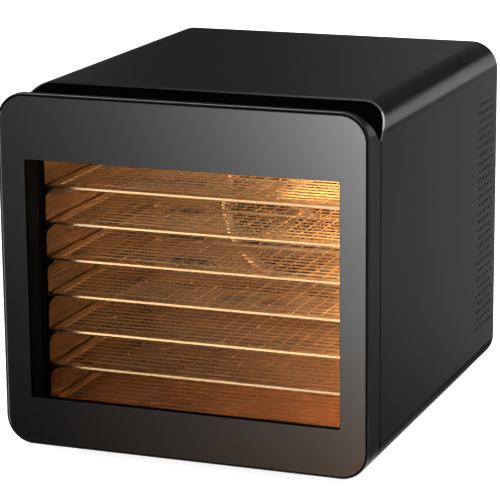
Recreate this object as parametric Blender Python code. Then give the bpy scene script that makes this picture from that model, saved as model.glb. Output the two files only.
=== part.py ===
"""Food dehydrator: a black cabinet with a drop-down glass door, seven pull-out mesh trays and a rear fan.

The front faces -Y and the feet stand on z = 0. Depths are measured back from the face of the glass and
heights up from the table, in metres. Y(depth) turns such a depth into the row's y.
"""

import math

import bmesh
import bpy
from mathutils import Matrix, Vector

# ---- driving dimensions -----------------------------------------------------------------------------------
WIDTH = 0.345
DEPTH = 0.400
FOOT_HEIGHT = 0.010
BODY_HEIGHT = 0.322
TOP = FOOT_HEIGHT + BODY_HEIGHT
HALF = WIDTH / 2
CORNER_R = 0.026
GAP = 0.0003
SHEET = 0.0015

DOOR_FRONT = 0.0006
DOOR_BACK = 0.0305
GLASS_THICKNESS = 0.0035
GLASS_INSET = 0.0026
REBATE_INSET = 0.0017
REBATE_DEPTH = 0.0043
WINDOW_HALF = 0.1465
WINDOW_LOW = FOOT_HEIGHT + 0.046
WINDOW_HIGH = FOOT_HEIGHT + 0.263
JAMB_MARGIN = 0.0025
SILL_DROP = 0.0120

HINGE_DEPTH = 0.014
HINGE_HEIGHT = 0.016
HINGE_X = 0.120
ARM_WIDTH = 0.003
ARM_HALF_HEIGHT = 0.003
ARM_REAR = 0.085
PIN_R = 0.002
PIN_HALF_LENGTH = 0.008

SHELL_FRONT = 0.033
SHELL_LIP = 0.0645
CUSP_DEPTH = 0.031
CUSP_HEIGHT = FOOT_HEIGHT + 0.290
BEZEL_BACK = 0.0353
TROUGH_LOW = (0.0338, 0.2925)
TROUGH_HIGH = (0.0648, 0.3200)

MAGNET_X = 0.100
MAGNET_Z = 0.2905
MAGNET_HALF_WIDTH = 0.008
MAGNET_HALF_HEIGHT = 0.004

CAVITY_HALF = 0.150
CAVITY_LOW = 0.032
CAVITY_HIGH = 0.280
CAVITY_FRONT = 0.042
LINER = 0.0012
BAFFLE_FRONT = 0.290
CHAMBER_BACK = 0.331
REAR_PANEL = 0.396

TRAY_COUNT = 7
TRAY_TOP_Z = FOOT_HEIGHT + 0.2305
TRAY_PITCH = 0.0334
TRAY_FRONT = 0.045
TRAY_BACK = 0.285
TRAY_HALF = 0.1465
TRAY_THICKNESS = 0.0022
TRAY_RIM = 0.008
TRAY_PANEL = 0.0005
RACK_PLATE = 0.0015
RUNNER_REACH = 0.008
RUNNER_DROP = 0.013

LAMP_DEPTH = (0.200, 0.236)
LAMP_Z = (0.246, 0.266)

FAN_Z = 0.178
FAN_OPENING_R = 0.067
GUARD_R = 0.0745
ROTOR_DEPTH = 0.311
ROTOR_R = 0.058
HEATER_R = 0.075
HEATER_LEG_X = 0.012
SHAFT_R = 0.003
MOTOR_R = 0.028
MOTOR_FRONT = 0.3405
MOTOR_BACK = 0.372

INLET_X = -0.105
INLET_Z = 0.050


def Y(depth):
    """The row's y at this depth behind the face of the glass."""
    return depth - DEPTH / 2


# ---- helpers ----------------------------------------------------------------------------------------------
def clear_scene():
    for obj in list(bpy.data.objects):
        bpy.data.objects.remove(obj, do_unlink=True)


def material(name, color, roughness, metallic=0.0):
    found = bpy.data.materials.get(name)
    if found:
        return found
    made = bpy.data.materials.new(name)
    made.use_nodes = True
    shader = made.node_tree.nodes["Principled BSDF"]
    shader.inputs["Base Color"].default_value = (*color, 1.0)
    shader.inputs["Roughness"].default_value = roughness
    shader.inputs["Metallic"].default_value = metallic
    made.diffuse_color = (*color, 1.0)
    return made


def finish(bm, name, look=None):
    bmesh.ops.recalc_face_normals(bm, faces=bm.faces)
    mesh = bpy.data.meshes.new(name)
    bm.to_mesh(mesh)
    bm.free()
    obj = bpy.data.objects.new(name, mesh)
    bpy.context.scene.collection.objects.link(obj)
    if look:
        mesh.materials.append(look)
    return obj


def place(axis, u, v, along):
    """A point of an outline: X outlines are (y, z), Y outlines (x, z) and Z outlines (x, y)."""
    return {"X": (along, u, v), "Y": (u, along, v), "Z": (u, v, along)}[axis]


def prism(name, outline, axis, low, high, look=None):
    bm = bmesh.new()
    ends = [[bm.verts.new(place(axis, u, v, along)) for u, v in outline] for along in (low, high)]
    for end in ends:
        bm.faces.new(end)
    for i in range(len(outline)):
        j = (i + 1) % len(outline)
        bm.faces.new((ends[0][i], ends[0][j], ends[1][j], ends[1][i]))
    return finish(bm, name, look)


def box(name, x, y, z, look=None):
    outline = [(x[0], y[0]), (x[1], y[0]), (x[1], y[1]), (x[0], y[1])]
    return prism(name, outline, "Z", z[0], z[1], look)


def circle(u, v, radius, steps):
    angles = [2 * math.pi * (i + 0.5) / steps for i in range(steps)]
    return [(u + radius * math.cos(a), v + radius * math.sin(a)) for a in angles]


def rounded(u, v, radius, steps=6):
    """A rounded rectangle between the limits u and v."""
    corners = [(u[1], v[1], 0), (u[0], v[1], 90), (u[0], v[0], 180), (u[1], v[0], 270)]
    points = []
    for cu, cv, start in corners:
        cu += radius if cu == u[0] else -radius
        cv += radius if cv == v[0] else -radius
        for i in range(steps + 1):
            a = math.radians(start + 90 * i / steps)
            points.append((cu + radius * math.cos(a), cv + radius * math.sin(a)))
    return points


def ring(name, outer, inner, axis, low, high, look=None):
    """A prism with a hole right through it. Both outlines have the same number of points."""
    bm = bmesh.new()
    count = len(outer)
    loops = {}
    edges = (("ol", outer, low), ("oh", outer, high), ("il", inner, low), ("ih", inner, high))
    for key, outline, along in edges:
        loops[key] = [bm.verts.new(place(axis, u, v, along)) for u, v in outline]
    for i in range(count):
        j = (i + 1) % count
        for a, b in (("ol", "oh"), ("oh", "ih"), ("ih", "il"), ("il", "ol")):
            bm.faces.new((loops[a][i], loops[a][j], loops[b][j], loops[b][i]))
    return finish(bm, name, look)


def boolean(obj, tool, operation):
    """Applies an exact Boolean and deletes the tool."""
    modifier = obj.modifiers.new("shape", "BOOLEAN")
    modifier.operation = operation
    modifier.object = tool
    modifier.solver = "EXACT"
    bpy.context.view_layer.update()
    shaped = bpy.data.meshes.new_from_object(obj.evaluated_get(bpy.context.evaluated_depsgraph_get()))
    obj.modifiers.remove(modifier)
    obj.data = shaped
    shaped.name = obj.name
    bpy.data.objects.remove(tool, do_unlink=True)
    return obj


def cut(obj, tool):
    return boolean(obj, tool, "DIFFERENCE")


def join(obj, tool):
    return boolean(obj, tool, "UNION")


def clip(obj, tool):
    return boolean(obj, tool, "INTERSECT")


def smooth(obj, angle=35):
    obj.data.shade_smooth()
    obj.data.set_sharp_from_angle(angle=math.radians(angle))
    return obj


def rod(name, axis, u, v, radius, low, high, look=None, steps=16):
    return smooth(prism(name, circle(u, v, radius, steps), axis, low, high, look))


def tube(name, path, radius, look, sides=8):
    """A round bar swept along a path, with flat ends."""
    path = [Vector(p) for p in path]
    bm = bmesh.new()
    rings = []
    side = None
    for i, point in enumerate(path):
        ahead = (path[min(i + 1, len(path) - 1)] - path[max(i - 1, 0)]).normalized()
        if side is None:
            side = ahead.orthogonal().normalized()
        side = (side - ahead * side.dot(ahead)).normalized()
        up = ahead.cross(side)
        turns = [2 * math.pi * k / sides for k in range(sides)]
        rings.append([bm.verts.new(point + radius * (math.cos(a) * side + math.sin(a) * up)) for a in turns])
    for one, two in zip(rings, rings[1:]):
        for k in range(sides):
            bm.faces.new((one[k], one[(k + 1) % sides], two[(k + 1) % sides], two[k]))
    bm.faces.new(rings[0])
    bm.faces.new(rings[-1])
    return smooth(finish(bm, name, look))


def set_origin(obj, point):
    """Moves the object's origin without moving its shape."""
    obj.data.transform(Matrix.Translation(-Vector(point)))
    obj.location = point
    return obj


# ---- finishes ---------------------------------------------------------------------------------------------
BLACK_PAINT = material("black_paint", (0.022, 0.022, 0.023), 0.38)
BLACK_PLASTIC = material("black_plastic", (0.018, 0.018, 0.019), 0.45)
GLASS = material("smoked_glass", (0.05, 0.05, 0.055), 0.05)
MASK_PRINT = material("mask_print", (0.008, 0.008, 0.008), 0.30)
RUBBER = material("seal_rubber", (0.015, 0.015, 0.015), 0.80)
STEEL = material("steel", (0.60, 0.60, 0.61), 0.28, 1.0)
LINER_STEEL = material("liner_steel", (0.50, 0.49, 0.47), 0.35, 1.0)
ZINC = material("zinc_plate", (0.55, 0.56, 0.58), 0.45, 1.0)
RACK_PLASTIC = material("rack_plastic", (0.030, 0.026, 0.022), 0.50)
FAN_ALLOY = material("fan_alloy", (0.62, 0.62, 0.63), 0.40, 1.0)
HEATER = material("heater_sheath", (0.20, 0.18, 0.16), 0.55, 1.0)
BOARD = material("circuit_board", (0.02, 0.16, 0.07), 0.50)
LAMP = material("lamp_lens", (0.95, 0.80, 0.55), 0.30)
CERAMIC = material("lamp_ceramic", (0.85, 0.84, 0.80), 0.60)
MAGNET = material("magnet", (0.10, 0.10, 0.11), 0.55, 0.6)


# ---- outer casing -----------------------------------------------------------------------------------------
def scoop_profile():
    """The side view of everything in front of the shell's cut-back edge, as (y, z)."""
    curve = [(CUSP_DEPTH, 0.290), (0.045, 0.3035), (0.0565, 0.3125), (0.0615, 0.3175), (SHELL_LIP, 0.322)]
    points = [(Y(d), FOOT_HEIGHT + h) for d, h in curve]
    return points + [(Y(SHELL_LIP), TOP + 0.02), (Y(CUSP_DEPTH), TOP + 0.02)]


def outer_shell():
    outer = rounded((-HALF, HALF), (FOOT_HEIGHT, TOP), CORNER_R, 8)
    inner_x = HALF - SHEET
    inner = rounded((-inner_x, inner_x), (FOOT_HEIGHT + SHEET, TOP - SHEET), CORNER_R - SHEET, 8)
    shell = ring("outer_shell", outer, inner, "Y", Y(SHELL_FRONT), Y(DEPTH), BLACK_PAINT)
    cut(shell, prism("tool", scoop_profile(), "X", -HALF - 0.01, HALF + 0.01))
    service = box("tool", (-0.122, 0.122), (Y(0.095), Y(0.388)), (FOOT_HEIGHT - 0.01, FOOT_HEIGHT + 0.004))
    cut(shell, service)
    return smooth(shell)


def inside_outline(margin, steps=8):
    """The shell's inner outline, drawn in by a margin."""
    inset = SHEET + margin
    x = HALF - inset
    return rounded((-x, x), (FOOT_HEIGHT + inset, TOP - inset), CORNER_R - inset, steps)


def magnet_block(name, side, y, margin=0.0, look=None):
    """A block at one of the two magnets, or at the plate that it pulls on."""
    half = MAGNET_HALF_WIDTH + margin
    rise = MAGNET_HALF_HEIGHT + margin
    x = side * MAGNET_X
    return box(name, (x - half, x + half), y, (MAGNET_Z - rise, MAGNET_Z + rise), look)


def front_bezel():
    mouth = rounded((-CAVITY_HALF, CAVITY_HALF), (CAVITY_LOW, CAVITY_HIGH), 0.004, 8)
    depth = (Y(SHELL_FRONT + GAP), Y(BEZEL_BACK))
    back = ring("front_bezel", inside_outline(GAP), mouth, "Y", *depth, BLACK_PLASTIC)
    outer = rounded(
        (-CAVITY_HALF - SHEET, CAVITY_HALF + SHEET), (CAVITY_LOW - SHEET, CAVITY_HIGH + SHEET), 0.0055, 8
    )
    join(back, ring("tool", outer, mouth, "Y", Y(SHELL_FRONT + 0.001), Y(CAVITY_FRONT)))
    cut(back, box("tool", (-HALF, HALF), (Y(0.02), Y(0.06)), (CUSP_HEIGHT + 0.0010, TOP + 0.01)))
    for side in (-1, 1):
        x = side * HINGE_X
        half = ARM_WIDTH / 2 + 0.001
        height = ARM_HALF_HEIGHT + 0.001
        slot = box(
            "tool", (x - half, x + half), (Y(0.02), Y(0.04)), (HINGE_HEIGHT - height, HINGE_HEIGHT + height)
        )
        cut(back, slot)
        cut(back, magnet_block("tool", side, (Y(0.02), Y(0.06)), GAP))


def trough_line(share, lift=0.0):
    """A point on the sloping face of the finger recess as (y, z), and the same raised along its normal."""
    d = TROUGH_LOW[0] + share * (TROUGH_HIGH[0] - TROUGH_LOW[0])
    h = TROUGH_LOW[1] + share * (TROUGH_HIGH[1] - TROUGH_LOW[1])
    slope = math.atan2(TROUGH_HIGH[1] - TROUGH_LOW[1], TROUGH_HIGH[0] - TROUGH_LOW[0])
    return Y(d) - lift * math.sin(slope), FOOT_HEIGHT + h + lift * math.cos(slope)


def slab_on_slope(name, x, share, lift, look):
    """A flat piece parallel to the finger recess, between two lifts off its face."""
    outline = [trough_line(share[0], lift[0]), trough_line(share[1], lift[0])]
    outline += [trough_line(share[1], lift[1]), trough_line(share[0], lift[1])]
    return prism(name, outline, "X", x[0], x[1], look)


def finger_recess():
    trough = slab_on_slope("recess_panel", (-HALF, HALF), (0.0, 0.985), (-SHEET, 0.0), BLACK_PLASTIC)
    clip(trough, prism("tool", inside_outline(GAP), "Y", Y(0.02), Y(0.09)))
    slab_on_slope("touch_strip", (-0.085, 0.085), (0.34, 0.86), (GAP, 0.0013), MASK_PRINT)
    slab_on_slope("control_board", (-0.075, 0.075), (0.30, 0.85), (-0.0088, -0.0072), BOARD)


def base_plate():
    plate = box("base_plate", (-0.148, 0.148), (Y(0.040), Y(0.392)), (0.0118, 0.0130), ZINC)
    for side in (-1, 1):
        x = side * HINGE_X
        cut(plate, box("tool", (x - 0.003, x + 0.003), (Y(0.03), Y(ARM_REAR + 0.002)), (0.011, 0.014)))


def rear_panel():
    panel = prism("rear_panel", inside_outline(GAP), "Y", Y(REAR_PANEL), Y(REAR_PANEL + SHEET), BLACK_PAINT)
    for row in range(6):
        z = FAN_Z + 0.012 * (row - 2.5)
        cut(panel, box("tool", (-0.045, 0.045), (Y(0.39), Y(0.40)), (z - 0.0025, z + 0.0025)))
    x = (INLET_X - 0.0143, INLET_X + 0.0143)
    cut(panel, box("tool", x, (Y(0.39), Y(0.40)), (INLET_Z - 0.0108, INLET_Z + 0.0108)))
    for i, (x, z) in enumerate(((-0.148, 0.035), (0.148, 0.035), (-0.148, 0.307), (0.148, 0.307))):
        start = REAR_PANEL + SHEET + GAP
        rod(f"rear_screw_{i + 1}", "Y", x, z, 0.0035, Y(start), Y(start + 0.0016), ZINC, 12)


def feet():
    for side, x in (("left", -0.132), ("right", 0.132)):
        for end, depth in (("front", 0.072), ("rear", 0.365)):
            rod(f"foot_{end}_{side}", "Z", x, Y(depth), 0.010, 0.0, FOOT_HEIGHT - GAP, RUBBER, 20)


# ---- drying chamber ---------------------------------------------------------------------------------------
def liner():
    depth = (Y(CAVITY_FRONT + GAP), Y(CHAMBER_BACK - GAP))
    height = (CAVITY_LOW, CAVITY_HIGH)
    for side, sign in (("left", -1), ("right", 1)):
        x = sorted((sign * CAVITY_HALF, sign * (CAVITY_HALF + LINER)))
        wall = box(f"liner_{side}", x, depth, height, LINER_STEEL)
        if side == "right":
            cut(wall, box("tool", (0.14, 0.16), (Y(LAMP_DEPTH[0] - GAP), Y(LAMP_DEPTH[1] + GAP)), LAMP_Z))
    width = (-CAVITY_HALF - LINER, CAVITY_HALF + LINER)
    box("liner_top", width, depth, (CAVITY_HIGH + GAP, CAVITY_HIGH + GAP + LINER), LINER_STEEL)
    box("liner_floor", width, depth, (CAVITY_LOW - GAP - LINER, CAVITY_LOW - GAP), LINER_STEEL)


def lamp():
    """A lens set in the right wall, with its lamp holder behind it."""
    depth = (Y(LAMP_DEPTH[0]), Y(LAMP_DEPTH[1]))
    box("lamp_lens", (0.1494, 0.1516), depth, (LAMP_Z[0] + GAP, LAMP_Z[1] - GAP), LAMP)
    box("lamp_holder", (0.1520, 0.1640), (Y(0.203), Y(0.233)), (0.247, 0.265), CERAMIC)


def rear_baffle():
    height = (CAVITY_LOW + GAP, CAVITY_HIGH - GAP)
    wall = box(
        "rear_baffle", (-CAVITY_HALF + GAP, CAVITY_HALF - GAP), (Y(BAFFLE_FRONT), Y(BAFFLE_FRONT + LINER)),
        height, LINER_STEEL,
    )
    cut(wall, prism("tool", circle(0, FAN_Z, FAN_OPENING_R, 32), "Y", Y(0.28), Y(0.30)))
    for side in (-1, 1):
        for row in range(5):
            z = 0.142 + 0.026 * (row - 2)
            x = sorted((side * 0.092, side * 0.132))
            cut(wall, box("tool", x, (Y(0.28), Y(0.30)), (z - 0.003, z + 0.003)))
    for x in (-0.064, -0.028, 0.028, 0.064):
        for z in (0.080, 0.091):
            cut(wall, box("tool", (x - 0.013, x + 0.013), (Y(0.28), Y(0.30)), (z - 0.003, z + 0.003)))


def chamber_back():
    height = (CAVITY_LOW, CAVITY_HIGH)
    width = (-CAVITY_HALF - LINER, CAVITY_HALF + LINER)
    wall = box("chamber_back", width, (Y(CHAMBER_BACK), Y(CHAMBER_BACK + LINER)), height, ZINC)
    cut(wall, prism("tool", circle(0, FAN_Z, 0.006, 16), "Y", Y(0.32), Y(0.34)))
    for x in (-HEATER_LEG_X, HEATER_LEG_X):
        cut(wall, prism("tool", circle(x, FAN_Z - HEATER_R, 0.005, 12), "Y", Y(0.32), Y(0.34)))


def tray_height(index):
    """The underside of a tray, counted from the top."""
    return TRAY_TOP_Z - TRAY_THICKNESS - index * TRAY_PITCH


def rack_outline(sign):
    """Side view of one rack from the front: a plate with a coved runner under each tray."""
    wall = CAVITY_HALF - GAP
    face = wall - RACK_PLATE
    points = [(wall, CAVITY_LOW + 0.001), (face, CAVITY_LOW + 0.001)]
    for index in reversed(range(TRAY_COUNT)):
        top = tray_height(index) - GAP
        drop = min(RUNNER_DROP, top - CAVITY_LOW - 0.0015)
        points.append((face, top - drop))
        for turn in (20, 45, 70):
            a = math.radians(turn)
            x = face - (RUNNER_REACH - RACK_PLATE) * (1 - math.cos(a))
            points.append((x, top - 0.0015 - (drop - 0.0015) * (1 - math.sin(a))))
        points.append((face - RUNNER_REACH + RACK_PLATE, top - 0.0015))
        points.append((face - RUNNER_REACH + RACK_PLATE, top))
        points.append((face, top))
    points += [(face, CAVITY_HIGH - 0.012), (wall, CAVITY_HIGH - 0.012)]
    return [(sign * x, z) for x, z in points]


def racks():
    for side, sign in (("left", -1), ("right", 1)):
        rack = prism(f"tray_rack_{side}", rack_outline(sign), "Y", Y(0.0440), Y(0.2880), RACK_PLASTIC)
        if side == "right":
            cut(rack, box("tool", (0.13, 0.16), (Y(0.196), Y(0.240)), (0.2440, 0.30)))


def trays():
    for index in range(TRAY_COUNT):
        low = tray_height(index)
        outline = rounded((-TRAY_HALF, TRAY_HALF), (Y(TRAY_FRONT), Y(TRAY_BACK)), 0.006, 3)
        tray = prism(f"tray_{index + 1}", outline, "Z", low, low + TRAY_THICKNESS, STEEL)
        x = TRAY_HALF - TRAY_RIM
        y = (Y(TRAY_FRONT + TRAY_RIM), Y(TRAY_BACK - TRAY_RIM))
        cut(tray, box("tool", (-x, x), y, (low + TRAY_PANEL, low + 0.01)))


# ---- fan, heater and electrics ----------------------------------------------------------------------------
def fan_guard():
    depth = (Y(BAFFLE_FRONT - 0.0033), Y(BAFFLE_FRONT - GAP))
    hole = circle(0, FAN_Z, FAN_OPENING_R - 0.001, 32)
    guard = ring("fan_guard", circle(0, FAN_Z, GUARD_R, 32), hole, "Y", *depth, STEEL)
    spokes = 12
    for i in range(spokes // 2):
        a = math.pi * i / (spokes // 2)
        along = Vector((math.cos(a), math.sin(a)))
        across = Vector((-along.y, along.x)) * 0.0011
        centre = Vector((0, FAN_Z))
        reach = along * (FAN_OPENING_R + 0.003)
        corners = [centre + reach + across, centre - reach + across]
        corners += [centre - reach - across, centre + reach - across]
        join(guard, prism("tool", corners, "Y", depth[0] + 0.0005, depth[1] - 0.0005))
    join(guard, prism("tool", circle(0, FAN_Z, 0.010, 16), "Y", *depth))
    join(guard, ring("tool", circle(0, FAN_Z, 0.0400, 24), circle(0, FAN_Z, 0.0375, 24), "Y", *depth))
    smooth(guard)


def fan_blade(turn):
    """One pitched blade as a thin twisted slab, from inside the hub out to the rotor's radius."""
    rows = ((0.009, 0.008, 44), (0.034, 0.013, 32), (ROTOR_R, 0.016, 24))
    bm = bmesh.new()
    sections = []
    for radius, half, pitch in rows:
        lean = math.radians(pitch)
        section = []
        for across, thick in ((-half, -1), (half, -1), (half, 1), (-half, 1)):
            t = 0.0006 * thick
            x = across * math.cos(lean) - t * math.sin(lean)
            y = across * math.sin(lean) + t * math.cos(lean)
            point = Matrix.Rotation(turn, 3, "Y") @ Vector((x, y, radius))
            section.append(bm.verts.new(point + Vector((0, Y(ROTOR_DEPTH), FAN_Z))))
        sections.append(section)
    for one, two in zip(sections, sections[1:]):
        for k in range(4):
            bm.faces.new((one[k], one[(k + 1) % 4], two[(k + 1) % 4], two[k]))
    bm.faces.new(sections[0])
    bm.faces.new(sections[-1])
    return finish(bm, "tool")


def fan_rotor():
    rotor = prism("fan_rotor", circle(0, FAN_Z, 0.014, 20), "Y", Y(0.302), Y(0.320), FAN_ALLOY)
    for i in range(5):
        join(rotor, fan_blade(2 * math.pi * i / 5))
    cut(rotor, prism("tool", circle(0, FAN_Z, SHAFT_R + GAP, 16), "Y", Y(0.306), Y(0.33)))
    set_origin(smooth(rotor, 30), (0, Y(ROTOR_DEPTH), FAN_Z))
    shaft = rod("motor_shaft", "Y", 0, FAN_Z, SHAFT_R, Y(0.3065), Y(0.3500), STEEL, 16)
    set_origin(shaft, (0, Y(ROTOR_DEPTH), FAN_Z))


def fan_motor():
    motor = prism("fan_motor", circle(0, FAN_Z, MOTOR_R, 28), "Y", Y(MOTOR_FRONT), Y(MOTOR_BACK), ZINC)
    boss = prism("tool", circle(0, FAN_Z, 0.010, 16), "Y", Y(MOTOR_BACK - 0.001), Y(MOTOR_BACK + 0.006))
    join(motor, boss)
    cut(motor, prism("tool", circle(0, FAN_Z, SHAFT_R + GAP, 16), "Y", Y(0.33), Y(0.3505)))
    smooth(motor)
    height = (FAN_Z - 0.016, FAN_Z + 0.016)
    bracket = box("motor_bracket", (-0.044, 0.044), (Y(0.3382), Y(MOTOR_FRONT - GAP)), height, ZINC)
    for side in (-1, 1):
        x = sorted((side * 0.041, side * 0.044))
        leg = box("tool", x, (Y(0.3325), Y(0.3390)), height)
        join(bracket, leg)
    cut(bracket, prism("tool", circle(0, FAN_Z, 0.006, 16), "Y", Y(0.33), Y(0.35)))


def heating_element():
    """A sheathed ring round the rotor whose two legs pass back through the chamber wall."""
    gap_angle = math.asin(HEATER_LEG_X / HEATER_R)
    start = -math.pi / 2 + gap_angle
    sweep = 2 * math.pi - 2 * gap_angle
    steps = 30
    path = [(HEATER_R * math.sin(gap_angle), Y(0.345), FAN_Z - HEATER_R)]
    path.append((HEATER_R * math.sin(gap_angle), Y(0.318), FAN_Z - HEATER_R))
    for i in range(steps + 1):
        a = start + sweep * i / steps
        path.append((HEATER_R * math.cos(a), Y(ROTOR_DEPTH), FAN_Z + HEATER_R * math.sin(a)))
    path.append((-HEATER_R * math.sin(gap_angle), Y(0.318), FAN_Z - HEATER_R))
    path.append((-HEATER_R * math.sin(gap_angle), Y(0.345), FAN_Z - HEATER_R))
    tube("heating_element", path, 0.0030, HEATER)


def sensors():
    rod("thermal_cutout", "Y", 0.085, 0.215, 0.009, Y(0.3325), Y(0.3450), BLACK_PLASTIC, 16)
    rod("temperature_probe", "Y", 0.075, 0.2655, 0.0020, Y(0.2700), Y(0.2897), STEEL, 10)


def power_board():
    board = box("power_board", (0.020, 0.130), (Y(0.342), Y(0.390)), (0.0180, 0.0196), BOARD)
    blocks = (((0.030, 0.058), (0.350, 0.376), 0.044), ((0.066, 0.082), (0.352, 0.368), 0.036))
    blocks += (((0.092, 0.122), (0.348, 0.360), 0.030),)
    for x, depth, top in blocks:
        join(board, box("tool", x, (Y(depth[0]), Y(depth[1])), (0.0190, top)))


def mains_inlet():
    """A three-pin appliance inlet: the lead plugs in from behind and isn't part of the object."""
    start = REAR_PANEL + SHEET + GAP
    flange = box(
        "mains_inlet", (INLET_X - 0.020, INLET_X + 0.020), (Y(start), Y(DEPTH - 0.0002)),
        (INLET_Z - 0.0135, INLET_Z + 0.0135), BLACK_PLASTIC,
    )
    body = box(
        "tool", (INLET_X - 0.0140, INLET_X + 0.0140), (Y(0.376), Y(start + 0.0005)),
        (INLET_Z - 0.0105, INLET_Z + 0.0105),
    )
    join(flange, body)
    x = (INLET_X - 0.0120, INLET_X + 0.0120)
    socket = box("tool", x, (Y(0.380), Y(0.41)), (INLET_Z - 0.0085, INLET_Z + 0.0085))
    cut(flange, socket)
    pins = (("line", -0.007, -0.002), ("neutral", 0.007, -0.002), ("earth", 0.0, 0.002))
    for name, dx, dz in pins:
        x = INLET_X + dx
        z = INLET_Z + dz
        depth = (Y(0.3803), Y(0.3930))
        box(f"inlet_pin_{name}", (x - 0.001, x + 0.001), depth, (z - 0.002, z + 0.002), ZINC)


# ---- door -------------------------------------------------------------------------------------------------
def door_frame():
    outer = rounded((-HALF, HALF), (FOOT_HEIGHT, TOP), CORNER_R, 8)
    jamb = WINDOW_HALF + JAMB_MARGIN
    opening = rounded((-jamb, jamb), (WINDOW_LOW - SILL_DROP, WINDOW_HIGH + JAMB_MARGIN), 0.003, 8)
    frame = ring("door_frame", outer, opening, "Y", Y(DOOR_FRONT), Y(DOOR_BACK), BLACK_PLASTIC)
    x = HALF - REBATE_INSET
    rebate = rounded((-x, x), (FOOT_HEIGHT + REBATE_INSET, TOP - REBATE_INSET), CORNER_R - REBATE_INSET, 8)
    cut(frame, prism("tool", rebate, "Y", Y(-0.01), Y(REBATE_DEPTH)))
    curve = [(0.0305, 0.290), (0.024, 0.2965), (0.018, 0.3040), (0.0115, 0.3125), (0.0085, 0.3185)]
    curve.append((0.007, 0.322))
    scoop = [(Y(d), FOOT_HEIGHT + h) for d, h in curve]
    scoop += [(Y(0.007), TOP + 0.01), (Y(0.04), TOP + 0.01), (Y(0.04), FOOT_HEIGHT + 0.290)]
    cut(frame, prism("tool", scoop, "X", -HALF - 0.01, HALF + 0.01))
    for side in (-1, 1):
        x = side * HINGE_X
        half = ARM_WIDTH / 2 + 0.0006
        notch = box(
            "tool", (x - half, x + half), (Y(HINGE_DEPTH - 0.006), Y(0.04)), (0.0, HINGE_HEIGHT + 0.0065)
        )
        cut(frame, notch)
        reach = PIN_HALF_LENGTH + GAP
        centre = (Y(HINGE_DEPTH), HINGE_HEIGHT)
        cut(frame, prism("tool", circle(*centre, PIN_R + GAP, 12), "X", x - reach, x + reach))
        cut(frame, magnet_block("tool", side, (Y(DOOR_BACK - 0.0018), Y(0.04)), GAP))
    set_origin(smooth(frame), (0, Y(HINGE_DEPTH), HINGE_HEIGHT))


def door_parts():
    hinge = (0, Y(HINGE_DEPTH), HINGE_HEIGHT)
    x = HALF - GLASS_INSET
    outline = rounded((-x, x), (FOOT_HEIGHT + GLASS_INSET, TOP - GLASS_INSET), CORNER_R - GLASS_INSET, 8)
    glass = smooth(prism("door_glass", outline, "Y", Y(0.0), Y(GLASS_THICKNESS), GLASS))
    window = rounded((-WINDOW_HALF, WINDOW_HALF), (WINDOW_LOW, WINDOW_HIGH), 0.001, 8)
    mask = ring("glass_mask", outline, window, "Y", Y(0.0037), Y(0.0041), MASK_PRINT)
    seal_out = rounded((-0.158, 0.158), (CAVITY_LOW - 0.008, CAVITY_HIGH + 0.0045), 0.008, 4)
    seal_in = rounded((-0.1525, 0.1525), (CAVITY_LOW - 0.0025, CAVITY_HIGH + 0.0015), 0.004, 4)
    seal = ring("door_seal", seal_out, seal_in, "Y", Y(DOOR_BACK + GAP), Y(SHELL_FRONT), RUBBER)
    moved = [glass, mask, seal]
    for side, sign in (("left", -1), ("right", 1)):
        x = sign * HINGE_X
        pin = (x - PIN_HALF_LENGTH, x + PIN_HALF_LENGTH)
        moved.append(rod(f"hinge_pin_{side}", "X", Y(HINGE_DEPTH), HINGE_HEIGHT, PIN_R, *pin, STEEL, 12))
        depth = (Y(DOOR_BACK - 0.0015), Y(DOOR_BACK))
        moved.append(magnet_block(f"strike_plate_{side}", sign, depth, 0.0, ZINC))
    for obj in moved:
        set_origin(obj, hinge)


def hinge_arms():
    """Fixed steel arms that reach out from under the cabinet into the door's bottom rail."""
    for side, sign in (("left", -1), ("right", 1)):
        x = sign * HINGE_X
        nose = []
        for i in range(9):
            a = math.radians(90 + 180 * i / 8)
            u = Y(HINGE_DEPTH) + 0.0045 * math.cos(a)
            nose.append((u, HINGE_HEIGHT + ARM_HALF_HEIGHT * math.sin(a)))
        tail = [(Y(ARM_REAR), HINGE_HEIGHT - ARM_HALF_HEIGHT), (Y(ARM_REAR), HINGE_HEIGHT + ARM_HALF_HEIGHT)]
        half = ARM_WIDTH / 2
        arm = prism(f"hinge_arm_{side}", nose + tail, "X", x - half, x + half, ZINC)
        bore = circle(Y(HINGE_DEPTH), HINGE_HEIGHT, PIN_R + 0.0002, 12)
        cut(arm, prism("tool", bore, "X", x - 0.01, x + 0.01))


def catch_magnets():
    for side, sign in (("left", -1), ("right", 1)):
        depth = (Y(SHELL_FRONT + GAP), Y(SHELL_FRONT + 0.007))
        magnet_block(f"catch_magnet_{side}", sign, depth, 0.0, MAGNET)


def main():
    clear_scene()
    outer_shell()
    front_bezel()
    finger_recess()
    base_plate()
    rear_panel()
    feet()
    liner()
    lamp()
    rear_baffle()
    chamber_back()
    racks()
    trays()
    fan_guard()
    fan_rotor()
    fan_motor()
    heating_element()
    sensors()
    power_board()
    mains_inlet()
    door_frame()
    door_parts()
    hinge_arms()
    catch_magnets()


main()
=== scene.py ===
"""Looks of the food dehydrator: detailed meshes, procedural finishes, a studio and a camera.

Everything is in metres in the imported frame: the front faces -Y and the feet stand on z = 0.
"""

import math

import bmesh
import bpy
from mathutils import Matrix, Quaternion, Vector

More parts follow.
